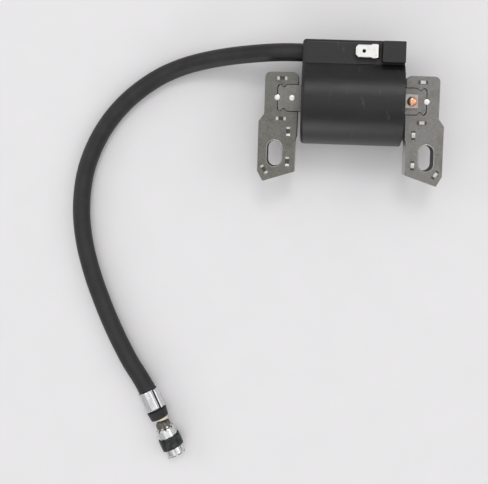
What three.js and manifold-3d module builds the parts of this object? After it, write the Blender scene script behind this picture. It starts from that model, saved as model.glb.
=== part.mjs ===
// Ignition coil for a small engine: a laminated E-shaped core with a moulded coil case on its middle bar,
// a stop-wire tab, and a high-tension lead that ends in a push-on plug socket.
// Millimetres, +Z up. The coil lies on the drum of its case. The origin is on that surface,
// under the middle of the coil without its lead. X runs along the core's bar.
import * as THREE from 'three';
import { mergeVertices } from 'three/addons/utils/BufferGeometryUtils.js';
import Module from 'manifold-3d';

const wasm = await Module();
wasm.setup();

// Driving dimensions
const GAP = 0.3;            // clearance between pieces that touch
const DRUM_R = 17.4;        // case drum, outside radius
const BAR_Y = 5.1;          // core bar's axis in front of the origin
const CASE_HALF = 19.3;     // half the case's length along the bar
const CASE_WALL = 1.5;
const BOX_TOP = 22.2;       // box's outer edge, from the bar's axis
const BOX_HALF = 10.4;      // half the box's depth
const BOX_STEP = 13.1;      // where the box leaves the drum
const BOX_CORNER = 1;
const STACK = 10;           // thickness of the stack of core sheets
const BAR_HALF = 4.9;       // half the bar's height
const TONGUE_X = 28.6;      // seam between the bar's tongue and the leg
const TOOTH_X = 26.1;       // middle of the leg's locking teeth
const LEG_IN = 20.6;        // leg's inner edge
const LEG_OUT = 33.5;       // leg's outer edge beside the bar
const FOOT_OUT = 35.6;      // leg's outer edge beside the slot
const LEG_TOP = 9.8;
const SLOT_X = 29.15;       // mounting slot's centre
const SLOT_Y = -21.5;
const SLOT_W = 5.6;
const SLOT_L = 10;
const RIVET_X = 22.9;       // rivets through the bar, beside the case
const PIN_R = 1.0;
const LEAD_R = 3.5;         // high-tension lead, outside radius
const CORE_R = 0.9;         // its conductor
const LEAD_Y = 17.9;        // where the lead enters the case, from the bar's axis
const LEAD_IN = 9.8;        // the lead's inner end, from the case's middle
const WINDING_R = 14.2;     // secondary bobbin's outside radius
const TAB = { tip: 0.5, end: 9.3, y: 17.8, half: 2.375, shoulder: 2.7, top: 14, thick: 0.8, low: 6.9 };
const BACKSTOP = { x: 10.4, y0: 13.7, y1: 21.9, root: 9.6 };   // block that stands off the box by the tab
const TAB_SLOT = { x0: 8.2, x1: 9.6, half: 3 };
const POTTING_X = 16.3;     // back of the potting's disc
const POTTING_SUNK = 0.5;
const LUG = { end: 25.2, half: 2.7, x0: 15.2, x1: 16, back: 15.2, rise: 0.2, thick: 0.5 };
const BOARD = { x0: -2.5, x1: 13.2, y: 15.6, thick: 0.8, z0: -8, z1: 6.4 };

// The lead's route: out of the case, down to the surface, round in a long loose curve to the plug socket
const LEAD_ROUTE = [
  [-9.8, 23, 17.4], [-19.5, 23, 17.4], [-27, 22.9, 17.2], [-34.5, 22.5, 16.1], [-42, 21.9, 13.8],
  [-49.5, 21.1, 10.9], [-57, 19.9, 8], [-64.5, 18.2, 5.6], [-71.5, 15.8, 4.2], [-78, 12.6, 3.7],
  [-84, 8.6, 3.6], [-90, 3.6, 3.6], [-95, -1.7, 3.6], [-99.5, -7.8, 3.6], [-103, -14, 3.6],
  [-106, -21.2, 3.6], [-108, -28.5, 3.6], [-109, -36, 3.6], [-109.2, -43, 3.6], [-108.6, -50.5, 3.6],
  [-107.3, -58, 3.6], [-105.4, -65.2, 3.6], [-103.1, -72.3, 3.6], [-100.4, -79.3, 3.6], [-97.5, -86.2, 3.6],
  [-94.3, -93, 3.7], [-90.8, -99.7, 3.9], [-87, -106.2, 4.2], [-83, -112, 4.5], [-79.6, -117.6, 4.6],
  [-76.7, -123.5, 4.6], [-74.2, -128.7, 4.6],
];
const LEAD_STEPS = 44;

// The plug socket's axis starts at the lead's crimp and leans this far from +X
const PLUG_START = [-79.6, -117.6, 4.6];
const PLUG_ANGLE = THREE.MathUtils.degToRad(-64);
const CRIMP_L = 8.4;
const CRIMP_R = 4.2;
const CRIMP_SEAM = 45;      // its open seam, from the socket's +Y towards +Z
const NECK_X = 13;          // neck's tip, along the socket's axis
const CUP_X = 17.4;         // socket's cup starts
const BORE_X = 20.4;        // floor of its bore
const BAND_X = 20.8;
const BAND_L = 5;
const BAND_R = 4.55;
const SOCKET_L = 29.2;
const SOCKET_R = 4.0;
const SOCKET_BORE = 3.3;
const SOCKET_FINGERS = 8;
const SLIT_X = 21.4;        // slits between the fingers start
const SLIT_W = 0.5;
const SLIT_TURN = THREE.MathUtils.degToRad(-13);

// Finishes
function finish(colour, roughness, metalness) {
  return new THREE.MeshStandardMaterial({ color: colour, roughness, metalness });
}
const steel = () => finish(0x7b7d7c, 0.45, 0.9);
const tinned = () => finish(0xe4e6e8, 0.25, 1);
const copper = () => finish(0xc98a5e, 0.3, 1);
const moulding = () => finish(0x343437, 0.5, 0);
const resin = () => finish(0x232325, 0.35, 0);
const rubber = () => finish(0x2f2e30, 0.7, 0);
const bobbinNylon = () => finish(0xd8d2c2, 0.5, 0);
const enamelWire = () => finish(0x9a4a22, 0.4, 0.6);
const boardLaminate = () => finish(0x3d6b3a, 0.5, 0);
const partsResin = () => finish(0x1d1d1f, 0.5, 0);

// Solids: booleans need welded meshes that hold positions only
function solid(geometry) {
  const bare = geometry.clone();
  bare.deleteAttribute('normal');
  bare.deleteAttribute('uv');
  const welded = mergeVertices(bare, 1e-4);
  return new wasm.Manifold(new wasm.Mesh({
    numProp: 3,
    vertProperties: new Float32Array(welded.attributes.position.array),
    triVerts: new Uint32Array(welded.index.array),
  }));
}

function surface(manifold) {
  const mesh = manifold.getMesh();
  const geometry = new THREE.BufferGeometry();
  geometry.setAttribute('position', new THREE.BufferAttribute(new Float32Array(mesh.vertProperties), 3));
  geometry.setIndex(new THREE.BufferAttribute(new Uint32Array(mesh.triVerts), 1));
  geometry.computeVertexNormals();
  return geometry;
}

function carve(body, cutters) {
  return cutters.reduce((left, cutter) => left.subtract(solid(cutter)), body);
}

// Basic shapes
function block(x0, x1, y0, y1, z0, z1) {
  const box = new THREE.BoxGeometry(x1 - x0, y1 - y0, z1 - z0);
  return box.translate((x0 + x1) / 2, (y0 + y1) / 2, (z0 + z1) / 2);
}

function arc(cx, cy, r, from, to, steps) {
  const points = [];
  for (let i = 0; i <= steps; i++) {
    const a = THREE.MathUtils.degToRad(from + ((to - from) * i) / steps);
    points.push(new THREE.Vector2(cx + r * Math.cos(a), cy + r * Math.sin(a)));
  }
  return points;
}

function points(pairs) {
  return pairs.map(([x, y]) => new THREE.Vector2(x, y));
}

function plate(outline, thickness, z, holes = []) {
  const shape = new THREE.Shape(outline);
  for (const hole of holes) shape.holes.push(new THREE.Path(hole));
  const geometry = new THREE.ExtrudeGeometry(shape, { depth: thickness, bevelEnabled: false });
  return geometry.translate(0, 0, z);
}

// An outline in Y and Z, drawn out along X
function alongX(outline, x0, x1, bevel = 0) {
  const edge = { bevelThickness: bevel, bevelSize: bevel, bevelOffset: -bevel, bevelSegments: 2 };
  const settings = { depth: x1 - x0 - 2 * bevel, bevelEnabled: bevel > 0, ...edge };
  const geometry = new THREE.ExtrudeGeometry(new THREE.Shape(outline), settings);
  const turn = new THREE.Matrix4().makeBasis(
    new THREE.Vector3(0, 1, 0), new THREE.Vector3(0, 0, 1), new THREE.Vector3(1, 0, 0));
  return geometry.applyMatrix4(turn).translate(x0 + bevel, 0, 0);
}

function rodX(x0, x1, r, y, z, sides = 24) {
  const rod = new THREE.CylinderGeometry(r, r, x1 - x0, sides);
  return rod.rotateZ(-Math.PI / 2).translate((x0 + x1) / 2, y, z);
}

function rodZ(x, y, r, z0, z1, sides = 24) {
  const rod = new THREE.CylinderGeometry(r, r, z1 - z0, sides);
  return rod.rotateX(Math.PI / 2).translate(x, y, (z0 + z1) / 2);
}

// A turned profile of [along, radius] pairs, with its axis along X
function turnedX(profile, sides) {
  const lathe = new THREE.LatheGeometry(profile.map(([along, r]) => new THREE.Vector2(r, along)), sides);
  return lathe.rotateZ(-Math.PI / 2);
}

function roundedSquare(half, corner) {
  const c = half - corner;
  return [
    ...arc(c, c, corner, 0, 90, 4), ...arc(-c, c, corner, 90, 180, 4),
    ...arc(-c, -c, corner, 180, 270, 4), ...arc(c, -c, corner, 270, 360, 4),
  ];
}

function circle(r, sides) {
  return arc(0, 0, r, 0, 360 - 360 / sides, sides - 1);
}

function wire(route, r, steps, sides = 8, bore = 0) {
  const curve = new THREE.CatmullRomCurve3(route.map((p) => new THREE.Vector3(...p)), false, 'centripetal');
  const section = new THREE.Shape(circle(r, sides));
  if (bore > 0) section.holes.push(new THREE.Path(circle(bore, 8)));
  return new THREE.ExtrudeGeometry(section, { steps, extrudePath: curve, bevelEnabled: false });
}

const model = new THREE.Group();
const coil = new THREE.Group();
coil.position.set(0, BAR_Y, DRUM_R);
model.add(coil);

function add(name, geometry, material, group = coil) {
  const mesh = new THREE.Mesh(geometry, material);
  mesh.name = name;
  group.add(mesh);
}

// Case: a drum with a box along one side, closed at the lead's end and open at the other
function caseOutline(inset) {
  const r = DRUM_R - inset;
  const half = BOX_HALF - inset;
  const top = BOX_TOP - inset;
  const corner = Math.max(BOX_CORNER - inset, 0.3);
  const stepZ = Math.sqrt(r * r - BOX_STEP * BOX_STEP);
  const from = THREE.MathUtils.radToDeg(Math.atan2(stepZ, BOX_STEP));
  return [
    ...arc(top - corner, half - corner, corner, 0, 90, 3),
    new THREE.Vector2(BOX_STEP, half),
    ...arc(0, 0, r, from, 90, 8),
    ...arc(0, 0, r, 90, 270, 36).slice(1),
    ...arc(0, 0, r, 270, 360 - from, 8).slice(1),
    new THREE.Vector2(BOX_STEP, -half),
    ...arc(top - corner, -half + corner, corner, 270, 360, 3),
  ];
}

function caseCup() {
  const floorX = -CASE_HALF + CASE_WALL;
  const long = solid(alongX(caseOutline(0), -CASE_HALF, CASE_HALF + 3, 0.8));
  const stepped = long.subtract(solid(block(CASE_HALF, CASE_HALF + 5, -30, 30, -30, 30)));
  const backstop = solid(block(BACKSTOP.x, CASE_HALF, BACKSTOP.y0, BACKSTOP.y1, BACKSTOP.root, TAB.top));
  const hole = BAR_HALF + GAP + 0.2;
  return surface(carve(stepped.add(backstop), [
    alongX(caseOutline(CASE_WALL), floorX, CASE_HALF + 1),
    block(-CASE_HALF - 1, floorX + 1, -hole, hole, -hole, hole),
    rodX(-CASE_HALF - 1, -LEAD_IN + GAP, LEAD_R + 0.25, LEAD_Y, 0, 32),
    block(TAB_SLOT.x0, TAB_SLOT.x1, TAB.y - TAB_SLOT.half, TAB.y + TAB_SLOT.half, 7, 11),
  ]));
}
add('case_cup', caseCup(), moulding());

// Potting resin: the disc that closes the open end, and the ring round the windings
function potting() {
  const disc = POTTING_X;
  const hole = BAR_HALF + GAP;
  const body = solid(alongX(caseOutline(CASE_WALL + GAP), disc, CASE_HALF - POTTING_SUNK));
  const ringR = DRUM_R - CASE_WALL - GAP;
  const ring = solid(rodX(-CASE_HALF + CASE_WALL + GAP, disc + 0.5, ringR, 0, 0, 64));
  return surface(carve(body.add(ring), [
    rodX(-CASE_HALF, disc, WINDING_R + GAP, 0, 0, 48),
    block(-CASE_HALF, disc, WINDING_R - 3, DRUM_R, -BOX_HALF, BOX_HALF),
    block(disc - 1, CASE_HALF, -hole, hole, -hole, hole),
    block(disc - 1, CASE_HALF, -LUG.half - GAP, LUG.half + GAP, STACK / 2 - 1, STACK / 2 + 1),
  ]));
}
add('potting_resin', potting(), resin());

// Core: outlines of the joint between the bar's tongue and each leg; side is +1 right and -1 left
function tongue(side, inset) {
  const h = BAR_HALF + GAP - inset;
  const end = TONGUE_X - inset;
  const upper = [
    [TOOTH_X - 1.7, h], [TOOTH_X - 1, h - 0.35], [TOOTH_X - 0.45, h - 1], [TOOTH_X + 0.45, h - 1],
    [TOOTH_X + 0.9, h - 0.35], [TOOTH_X + 1.5, h - 0.1], [end - 0.35, h - 0.5], [end, h - 1.2],
  ];
  const lower = upper.map(([x, y]) => [x, -y]).reverse();
  return points([...upper, ...lower].map(([x, y]) => [side * x, y]));
}

function seamHole(side) {
  return rodZ(side * TONGUE_X, 0, PIN_R + GAP, -STACK, STACK);
}

function coreBar() {
  const left = tongue(-1, GAP).reverse();
  const outline = [...tongue(1, GAP), ...left];
  const rivets = [-RIVET_X, RIVET_X].map((x) => rodZ(x, 0, PIN_R + GAP, -STACK, STACK));
  const bar = solid(plate(outline, STACK, -STACK / 2));
  return surface(carve(bar, [...rivets, seamHole(1), seamHole(-1)]));
}
add('core_bar', coreBar(), steel());

function legOutline(side) {
  const foot = [[21.2, -28.4], [33.4, -32.4], [FOOT_OUT, -28.5], [FOOT_OUT, -11], [FOOT_OUT - 0.25, -9.3]];
  const shoulder = [[FOOT_OUT - 0.9, -8.1], [LEG_OUT + 0.3, -6.8], [LEG_OUT, -5.9]];
  const outer = arc(LEG_OUT - 2, LEG_TOP - 2, 2, 0, 90, 5).map((p) => [p.x, p.y]);
  const inner = arc(LEG_IN + 2, LEG_TOP - 2, 2, 90, 180, 5).map((p) => [p.x, p.y]);
  const mouth = BAR_HALF + GAP;
  const notch = tongue(1, 0).map((p) => [p.x, p.y]);
  const below = [[LEG_IN, -mouth], [LEG_IN + 0.1, -14.6], [LEG_IN + 0.5, -15.6]];
  const outline = [...foot, ...shoulder, ...outer, ...inner, [LEG_IN, mouth], ...notch, ...below];
  return points(outline.map(([x, y]) => [side * x, y]));
}

function slotOutline(x, y) {
  const r = SLOT_W / 2;
  const reach = SLOT_L / 2 - r;
  return [...arc(x, y + reach, r, 0, 180, 10), ...arc(x, y - reach, r, 180, 360, 10)];
}

function leg(side) {
  const stack = plate(legOutline(side), STACK, -STACK / 2, [slotOutline(side * SLOT_X, SLOT_Y)]);
  return surface(carve(solid(stack), [seamHole(side)]));
}
add('leg_left', leg(-1), steel());
add('leg_right', leg(1), steel());

// Pins peened over at both ends, proud of the stack
function peened(x, proud) {
  const end = STACK / 2 + proud;
  const edge = 0.3;
  const rise = [[end - edge, PIN_R], [end, PIN_R - edge], [end, 0]];
  const profile = [...rise.map(([along, r]) => [-along, r]).reverse(), ...rise];
  return turnedX(profile, 20).rotateY(-Math.PI / 2).translate(x, 0, 0);
}
add('seam_pin_left', peened(-TONGUE_X, 0.25), tinned());
add('seam_pin_right', peened(TONGUE_X, 0.25), tinned());
add('bar_rivet', peened(-RIVET_X, 0.2), tinned());

// Ground lug: plate under the rivet's head, with a strap that goes to the circuit board
const LUG_Z = STACK / 2 + LUG.rise;
function groundLug() {
  const outline = points([
    [LUG.end, -LUG.half], [LUG.end, LUG.half], [LUG.x1, LUG.half],
    [LUG.x1, LUG.back], [LUG.x0, LUG.back], [LUG.x0, -LUG.half],
  ]);
  return plate(outline, LUG.thick, LUG_Z, [arc(RIVET_X, 0, PIN_R + GAP, 0, 345, 23)]);
}
add('ground_lug', groundLug(), tinned());

// Ground rivet: a domed head on the lug, and a shank through the bar
function groundRivet() {
  const under = LUG_Z + LUG.thick + 0.1;
  const headR = 1.85;
  const dome = [[0.55, headR], [0.85, headR * 0.86], [1.1, headR * 0.6], [1.25, headR * 0.3]];
  const head = dome.map(([rise, r]) => [under + rise, r]);
  const tail = -STACK / 2 - 0.2;
  const profile = [[tail, 0], [tail, PIN_R], [under, PIN_R], [under, headR], ...head, [under + 1.3, 0]];
  return turnedX(profile, 28).rotateY(-Math.PI / 2).translate(RIVET_X, 0, 0);
}
add('ground_rivet', groundRivet(), copper());

// Stop tab: a blade bent over to lie above the box, with its stem through the case to the board
function stopTab() {
  const { tip, end, y, half, shoulder, top, thick, low } = TAB;
  const blade = points([
    [tip, y - half + 0.9], [tip + 0.8, y - half], [end - 3, y - half], [end - 2.7, y - shoulder],
    [end, y - shoulder], [end, y + shoulder], [end - 2.7, y + shoulder], [end - 3, y + half],
    [tip + 0.8, y + half], [tip, y + half - 0.9],
  ]);
  const face = solid(plate(blade, thick, top - thick, [arc(tip + 3.1, y, 0.65, 0, 337.5, 15)]));
  const stem = block(end - thick, end, y - 2.2, y + 2.2, low, top - thick / 2);
  return surface(face.add(solid(stem)));
}
add('stop_tab', stopTab(), tinned());

// Bobbins and windings, one inside the other on the bar
function primaryBobbin() {
  const inner = roundedSquare(BAR_HALF + GAP + 0.1, 0.4);
  const outer = roundedSquare(6.2, 1);
  const flange = roundedSquare(8.8, 1.5);
  const body = solid(alongX(outer, -16.4, 14.6));
  const left = solid(alongX(flange, -16.4, -15.5));
  const right = solid(alongX(flange, 13.7, 14.6));
  return surface(carve(body.add(left).add(right), [alongX(inner, -17, 15)]));
}
add('primary_bobbin', primaryBobbin(), bobbinNylon());

function primaryWinding() {
  const outer = solid(alongX(roundedSquare(8.4, 2.5), -15.2, 13.4));
  return surface(carve(outer, [alongX(roundedSquare(6.5, 1.2), -16, 14)]));
}
add('primary_winding', primaryWinding(), enamelWire());

// The secondary is wound in sections between the bobbin's walls, and crosses each wall in a notch
const SECTIONS = 6;
const SPOOL = { x0: -15.2, x1: 13.4, bore: 11.3, tube: 12, wall: 0.7, sides: 28 };
const SECTION_L = (SPOOL.x1 - SPOOL.x0 - SPOOL.wall) / SECTIONS;
const NOTCH = { depth: 12.3, half: 1.2 };

function secondaryBobbin() {
  let body = solid(rodX(SPOOL.x0, SPOOL.x1, SPOOL.tube, 0, 0, SPOOL.sides));
  for (let i = 0; i <= SECTIONS; i++) {
    const x = SPOOL.x0 + i * SECTION_L;
    body = body.add(solid(rodX(x, x + SPOOL.wall, WINDING_R, 0, 0, SPOOL.sides)));
  }
  const bore = rodX(SPOOL.x0 - 1, SPOOL.x1 + 1, SPOOL.bore, 0, 0, SPOOL.sides);
  const [from, to] = [SPOOL.x0 + SPOOL.wall, SPOOL.x1 - SPOOL.wall];
  const notch = block(from, to, -15, -NOTCH.depth, -NOTCH.half, NOTCH.half);
  return surface(carve(body, [bore, notch]));
}
add('secondary_bobbin', secondaryBobbin(), bobbinNylon());

function secondaryWinding() {
  const inner = SPOOL.tube + GAP;
  const crossing = block(SPOOL.x0 + 2, SPOOL.x1 - 2, -13.5, -inner - 0.3, -0.8, 0.8);
  let body = solid(crossing);
  for (let i = 0; i < SECTIONS; i++) {
    const x = SPOOL.x0 + i * SECTION_L + SPOOL.wall;
    const ring = solid(rodX(x + GAP, x + SECTION_L - SPOOL.wall - GAP, 13.8, 0, 0, SPOOL.sides));
    body = body.add(ring.subtract(solid(rodX(x, x + SECTION_L, inner, 0, 0, SPOOL.sides))));
  }
  return surface(body);
}
add('secondary_winding', secondaryWinding(), enamelWire());

// Trigger circuit, in the box above the windings
const BOARD_TOP = BOARD.y + BOARD.thick;
add('circuit_board', block(BOARD.x0, BOARD.x1, BOARD.y, BOARD_TOP, BOARD.z0, BOARD.z1), boardLaminate());

function flatTransistor(x, z, size, legs) {
  const low = BOARD_TOP + GAP;
  let body = solid(block(x, x + size.x, low, low + size.y, z, z + size.z));
  for (let i = 0; i < legs; i++) {
    const side = z + ((i + 0.5) * size.z) / legs;
    body = body.add(solid(block(x + size.x - 0.5, x + size.x + 1.6, low, low + 0.4, side - 0.4, side + 0.4)));
  }
  return surface(body);
}
add('power_transistor', flatTransistor(-1.8, -7.6, { x: 6.4, y: 2.6, z: 6.4 }, 3), partsResin());
add('trigger_transistor', flatTransistor(7, -7.4, { x: 2.8, y: 1.4, z: 3.2 }, 3), partsResin());

// A small axial part on the board: body with thin wire ends, lying along X
function axialPart(x, z, r) {
  const profile = [[0, 0], [0, 0.3], [1.2, 0.3], [1.2, r], [4.6, r], [4.6, 0.3], [5.8, 0.3], [5.8, 0]];
  return turnedX(profile, 12).translate(x, BOARD_TOP + GAP + r, z);
}
add('trigger_resistor', axialPart(0, 1.6, 0.9), finish(0xcdb58a, 0.5, 0));
add('base_resistor', axialPart(0, 4.6, 0.9), finish(0xcdb58a, 0.5, 0));
add('clamp_diode', axialPart(6.8, 0, 1.1), partsResin());

// Contact screw: it points into the lead's conductor
function contactScrew() {
  const profile = [[0, 0], [1.2, 0.8], [4.8, 0.8], [4.8, 1.2], [5.8, 1.2], [5.8, 0]];
  return turnedX(profile, 16).translate(-LEAD_IN + GAP, LEAD_Y, 0);
}
add('ht_contact_screw', contactScrew(), tinned());

add('secondary_wire', wire([[-6.6, 14.4, 0], [-6.6, 15.4, 0], [-6.6, 16.8, 0]], 0.25, 3), enamelWire());
const primaryRoute = (z) => [[15, 8.2, z], [15, 11, z], [14.9, 13.4, z], [14.2, 15.2, z], [14.2, 16.6, z]];
add('primary_wire_start', wire(primaryRoute(-5), 0.3, 8), enamelWire());
add('primary_wire_end', wire(primaryRoute(-2), 0.3, 8), enamelWire());

// High-tension lead: rubber jacket over a stranded conductor
add('lead_jacket', wire(LEAD_ROUTE, LEAD_R, LEAD_STEPS, 12, CORE_R + GAP + 0.05), rubber(), model);
add('lead_conductor', wire(LEAD_ROUTE, CORE_R, LEAD_STEPS, 8), tinned(), model);

// Plug socket, on its own axis
const plug = new THREE.Group();
plug.position.set(...PLUG_START);
plug.rotation.z = PLUG_ANGLE;
model.add(plug);

// Crimp: sheet rolled round the lead, with an open seam
function crimp() {
  const gap = 8;
  const [from, to] = [CRIMP_SEAM - gap, CRIMP_SEAM - 360 + gap];
  const outer = arc(0, 0, CRIMP_R, from, to, 28);
  const inner = arc(0, 0, LEAD_R + GAP, to, from, 28);
  return alongX([...outer, ...inner], 0, CRIMP_L);
}
add('plug_crimp', crimp(), tinned(), plug);

// Socket: a solid neck that opens into a cup, slit so that its fingers spring
function plugSocket() {
  const profile = [
    [NECK_X, 0], [NECK_X, 1.5], [NECK_X + 1.9, 3.05], [CUP_X - 0.5, 3.1], [CUP_X, SOCKET_R],
    [SOCKET_L, SOCKET_R], [SOCKET_L, SOCKET_BORE], [BORE_X, SOCKET_BORE], [BORE_X, 0],
  ];
  const slits = [];
  for (let i = 0; i < SOCKET_FINGERS / 2; i++) {
    const cut = block(SLIT_X, SOCKET_L + 1, -SLIT_W / 2, SLIT_W / 2, -6, 6);
    slits.push(cut.rotateX(SLIT_TURN + (i * 2 * Math.PI) / SOCKET_FINGERS));
  }
  return surface(carve(solid(turnedX(profile, 32)), slits));
}
add('plug_socket', plugSocket(), tinned(), plug);

// Spring band that holds the fingers in
function plugBand() {
  const inner = SOCKET_R + 0.2;
  const profile = [
    [0, inner], [0.3, BAND_R - 0.15], [0.6, BAND_R], [BAND_L - 0.6, BAND_R],
    [BAND_L - 0.3, BAND_R - 0.15], [BAND_L, inner], [0, inner],
  ];
  return turnedX(profile, 32).translate(BAND_X, 0, 0);
}
add('plug_band', plugBand(), finish(0x2b2c30, 0.4, 0.5), plug);

export default model;
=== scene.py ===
# Ignition coil of a small engine: laminated core, moulded drum case, stop tab, and a rubber high-tension
# lead with a push-on plug socket. Each section makes one piece, or one group of like pieces, round the
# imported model. Lengths are in millimetres and become metres where a mesh is made.
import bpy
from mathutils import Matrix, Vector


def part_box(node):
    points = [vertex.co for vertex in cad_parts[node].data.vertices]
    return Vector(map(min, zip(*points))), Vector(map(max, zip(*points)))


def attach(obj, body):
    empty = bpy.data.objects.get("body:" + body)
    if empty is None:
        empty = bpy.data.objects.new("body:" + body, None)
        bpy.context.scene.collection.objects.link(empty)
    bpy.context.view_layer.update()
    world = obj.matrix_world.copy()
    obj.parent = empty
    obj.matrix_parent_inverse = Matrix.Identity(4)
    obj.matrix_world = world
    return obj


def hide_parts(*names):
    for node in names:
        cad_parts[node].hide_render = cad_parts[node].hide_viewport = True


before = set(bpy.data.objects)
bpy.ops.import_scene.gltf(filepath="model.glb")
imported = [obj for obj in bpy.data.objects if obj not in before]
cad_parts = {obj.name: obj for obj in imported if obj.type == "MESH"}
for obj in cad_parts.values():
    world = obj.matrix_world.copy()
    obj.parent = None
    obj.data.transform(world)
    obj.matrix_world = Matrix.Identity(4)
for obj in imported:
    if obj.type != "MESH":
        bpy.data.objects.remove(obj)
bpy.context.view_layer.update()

import math
import random

import bmesh
import bpy
from mathutils import Matrix, Vector, noise
from mathutils.geometry import tessellate_polygon

MM = 0.001


# ---- The view ----
# A camera on a copy stand, 345 mm above the table and a little in front of the coil's middle. It leans
# 4 degrees towards the lead's curve.
EYE = Vector((-12.4, -8.4, 345)) * MM
AIM = Vector((-25.8, -29.5, 0)) * MM
PICTURE_UP = Vector((-0.0328, 0.9995, 0))

camera_data = bpy.data.cameras.new("copy_stand_camera")
camera_data.sensor_width = 36
camera_data.lens = 61.69
camera_data.shift_x = -0.082
camera_data.shift_y = -0.119
camera_data.clip_start = 0.01
camera = bpy.data.objects.new("copy_stand_camera", camera_data)
back = (EYE - AIM).normalized()
across = PICTURE_UP.cross(back).normalized()
turn = Matrix((across, back.cross(across), back)).transposed()
camera.matrix_world = Matrix.Translation(EYE) @ turn.to_4x4()
bpy.context.scene.collection.objects.link(camera)
bpy.context.scene.camera = camera


# ---- High-tension lead ----
# 7 mm ignition lead: black EPDM rubber extruded over a stranded conductor. It is moulded into the case
# at one end, lies on the table in a long loose curve, and ends in the crimp of the plug socket.
LEAD_R = 3.5
LEAD_ROUTE = [
    (-9.8, 23, 17.4), (-19.5, 23, 17.4), (-27, 22.9, 17.2), (-34.5, 22.5, 16.1), (-42, 21.9, 13.8),
    (-49.5, 21.1, 10.9), (-57, 19.9, 8), (-64.5, 18.2, 5.6), (-71.5, 15.8, 4.2), (-78, 12.6, 3.7),
    (-84, 8.6, 3.6), (-90, 3.6, 3.6), (-95, -1.7, 3.6), (-99.5, -7.8, 3.6), (-103, -14, 3.6),
    (-106, -21.2, 3.6), (-108, -28.5, 3.6), (-109, -36, 3.6), (-109.2, -43, 3.6), (-108.6, -50.5, 3.6),
    (-107.3, -58, 3.6), (-105.4, -65.2, 3.6), (-103.1, -72.3, 3.6), (-100.4, -79.3, 3.6), (-97.5, -86.2, 3.6),
    (-94.3, -93, 3.7), (-90.8, -99.7, 3.9), (-87, -106.2, 4.2), (-83, -112, 4.5), (-79.6, -117.6, 4.6),
    (-76.7, -123.5, 4.6), (-74.2, -128.7, 4.6),
]
LEAD_SIDES = 48
LEAD_FINE = 0.24      # spacing of the rings near the cut end, and every fifth one elsewhere
LEAD_END = 3.8        # rubber that stands out past the crimp
LEAD_FLARE = 0.7      # how far the crimp squeezes it out there
CUT_FLARE = 0.25      # what is left of that at the cut end
CUT_ROUND = 0.3       # length of the cut end's soft edge
CRIMP_REACH = 9.6     # from the collar to the swelling at the crimp's other end
SWELLING = 0.12


def to_linear(colour):
    """An sRGB hex colour as the linear colour that a shader takes."""
    parts = [int(colour[i:i + 2], 16) / 255 for i in (1, 3, 5)]
    return [*(c / 12.92 if c <= 0.04045 else ((c + 0.055) / 1.055) ** 2.4 for c in parts), 1.0]


def add(tree, kind, sockets=None, **settings):
    """Adds a node with its settings. A socket takes a value, or a node and its output's name for a link."""
    made = tree.nodes.new(kind)
    for name, value in settings.items():
        setattr(made, name, value)
    for socket, value in (sockets or {}).items():
        if isinstance(value, tuple) and isinstance(value[0], bpy.types.Node):
            tree.links.new(value[0].outputs[value[1]], made.inputs[socket])
        else:
            made.inputs[socket].default_value = value
    return made


def new_finish(name):
    """A material and its empty node tree."""
    finish = bpy.data.materials.new(name)
    finish.use_nodes = True
    finish.node_tree.nodes.clear()
    return finish, finish.node_tree


class Shape:
    """A closed mesh in the making, in millimetres: rings of points, and the faces between them."""

    def __init__(self, place=Matrix.Identity(4)):
        self.place = place
        self.points, self.faces, self.finish_of, self.spots = [], [], [], []

    def ring(self, points):
        first = len(self.points)
        self.points += [self.place @ Vector(p) for p in points]
        return list(range(first, len(self.points)))

    def face(self, corners, finish=0, spots=None):
        self.faces.append(corners)
        self.finish_of.append(finish)
        self.spots.append(spots)

    def bridge(self, a, b, finish=0):
        for i in range(len(a)):
            self.face((a[i - 1], a[i], b[i], b[i - 1]), finish)

    def loft(self, rings, finish=0):
        for a, b in zip(rings, rings[1:]):
            self.bridge(a, b, finish)

    def cap(self, outer, holes=(), finish=0):
        if not holes:
            self.face(tuple(outer), finish)
            return
        loops = [outer, *holes]
        flat = [i for loop in loops for i in loop]
        for corners in tessellate_polygon([[self.points[i] for i in loop] for loop in loops]):
            self.face(tuple(flat[k] for k in corners), finish)

    def ends(self, rings):
        """Flat ends on a loft."""
        self.cap(rings[0])
        self.cap(rings[-1])

    def turned(self, profile, sides, radius=None, finish=0):
        """Closed rings of (along X, radius) about local X, which radius(x, r, angle) may shape."""
        rings = []
        for x, r in profile:
            angles = [2 * math.pi * k / sides for k in range(sides)]
            spread = [radius(x, r, a) if radius else r for a in angles]
            rings.append(self.ring((x, s * math.cos(a), s * math.sin(a)) for s, a in zip(spread, angles)))
        self.loft(rings, finish)
        return rings

    def piece(self, name, finishes, smooth=35, weigh=True):
        """The finished piece, in metres. It rides on the coil and takes its place in the row frame."""
        mesh = bpy.data.meshes.new(name)
        mesh.from_pydata([p * MM for p in self.points], [], self.faces)
        for finish in finishes:
            mesh.materials.append(finish)
        mesh.polygons.foreach_set("material_index", self.finish_of)
        if self.spots[0]:
            layer = mesh.uv_layers.new(name="metres")
            for polygon, spots in zip(mesh.polygons, self.spots):
                for loop, spot in zip(polygon.loop_indices, spots or [(0, 0)] * len(polygon.vertices)):
                    layer.data[loop].uv = (spot[0] * MM, spot[1] * MM)
        made = bpy.data.objects.new(name, mesh)
        bpy.context.scene.collection.objects.link(made)
        close(made, smooth)
        if weigh:
            made.modifiers.new("flat faces shade flat", "WEIGHTED_NORMAL").keep_sharp = True
        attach(made, "root")
        return made


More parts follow.
